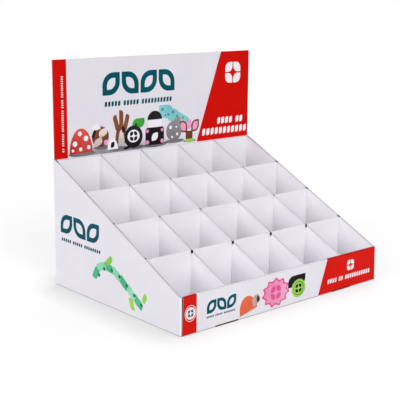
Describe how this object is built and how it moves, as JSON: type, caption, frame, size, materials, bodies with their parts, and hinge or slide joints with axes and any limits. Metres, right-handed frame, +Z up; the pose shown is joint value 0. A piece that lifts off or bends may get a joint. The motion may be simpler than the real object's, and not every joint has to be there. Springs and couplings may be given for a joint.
{
  "type": "counter display box",
  "caption": "Free-standing counter display of folded corrugated board: a tray with sloping sides, a header card behind it and slotted dividers that make open cells.",
  "frame": {"origin": "middle of the footprint, on the surface that the tray stands on", "axes": "+Z up, +X to the right seen from the front, +Y from the low front wall to the header card"},
  "size_m": [0.4, 0.3, 0.342],
  "materials": {
    "tray_board": "white coated corrugated board, satin print on the outside",
    "header_board": "white coated corrugated board, satin print on the front",
    "divider_board": "white uncoated corrugated board"
  },
  "bodies": {
    "root": {"tray": "tray_board", "header_card": "header_board", "longitudinal_divider_1": "divider_board", "longitudinal_divider_2": "divider_board", "longitudinal_divider_3": "divider_board", "longitudinal_divider_4": "divider_board", "cross_divider_1": "divider_board", "cross_divider_2": "divider_board", "cross_divider_3": "divider_board"}
  },
  "joints": []
}
